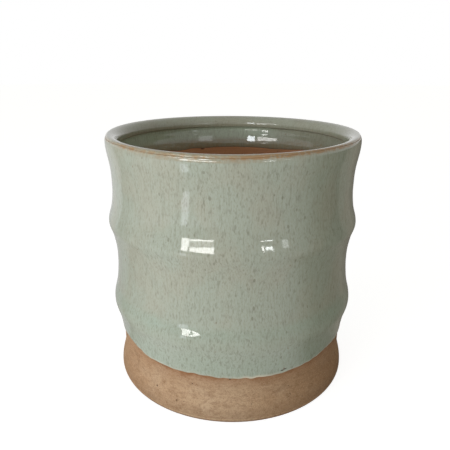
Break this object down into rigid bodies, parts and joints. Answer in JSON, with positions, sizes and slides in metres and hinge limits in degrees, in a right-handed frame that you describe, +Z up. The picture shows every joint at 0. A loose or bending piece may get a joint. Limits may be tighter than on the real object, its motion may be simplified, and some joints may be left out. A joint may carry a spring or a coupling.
{
  "type": "ceramic planter pot",
  "caption": "Round glazed stoneware planter with two raised rings, a rolled lip, a bare clay foot band and a rubber stopper in its drain hole.",
  "frame": {"origin": "centre of the face that the foot ring stands on", "axes": "+Z up along the pot's axis, towards the mouth; the pot is round, so X and Y are free"},
  "size_m": [0.2536, 0.2536, 0.253],
  "materials": {
    "stoneware": "matt fired clay",
    "outer_glaze": "glossy speckled grey-green",
    "inner_glaze": "glossy grey-green",
    "stopper_rubber": "matt rubber"
  },
  "bodies": {
    "pot": {"clay_body": "stoneware", "outer_glaze": "outer_glaze", "inner_glaze": "inner_glaze"},
    "stopper": {"drain_stopper": "stopper_rubber"}
  },
  "joints": [
    {"name": "stopper_lift", "type": "slide", "parent": "pot", "child": "stopper", "axis": [0, 0, 1], "range_m": [0, 0.26]}
  ]
}
